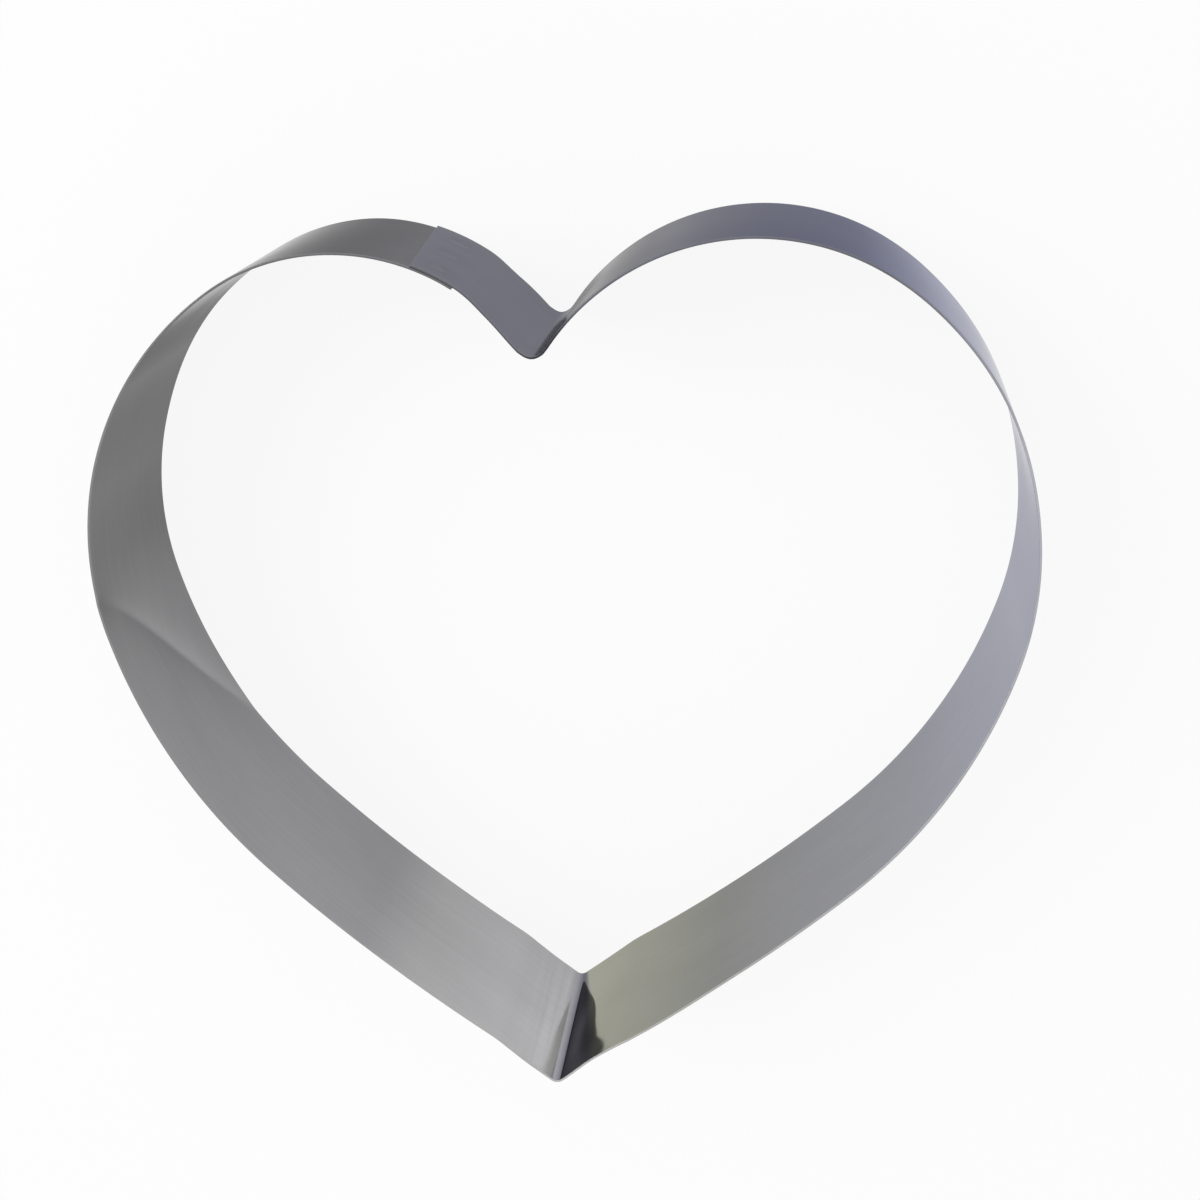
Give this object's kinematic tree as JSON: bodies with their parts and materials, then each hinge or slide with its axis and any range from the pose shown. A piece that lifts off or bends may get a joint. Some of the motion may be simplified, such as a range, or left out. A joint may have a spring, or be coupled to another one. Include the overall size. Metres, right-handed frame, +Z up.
{
  "type": "heart cake ring",
  "caption": "Bottomless heart-shaped baking ring of polished stainless strip, folded at tip and cleft, with its ends lapped and spot-welded on one lobe.",
  "frame": {"origin": "centre of the ring's outline box, on the plane that the lower rim stands on", "axes": "+Z up from the lower rim to the upper rim, +Y from the tip towards the lobes, +X towards the right lobe"},
  "size_m": [0.2, 0.192, 0.05],
  "materials": {
    "polished_steel": "bright rolled stainless sheet, polished",
    "weld_steel": "satin electrode mark"
  },
  "bodies": {
    "root": {"heart_band": "polished_steel", "spot_weld_1": "weld_steel", "spot_weld_2": "weld_steel", "spot_weld_3": "weld_steel"}
  },
  "joints": []
}
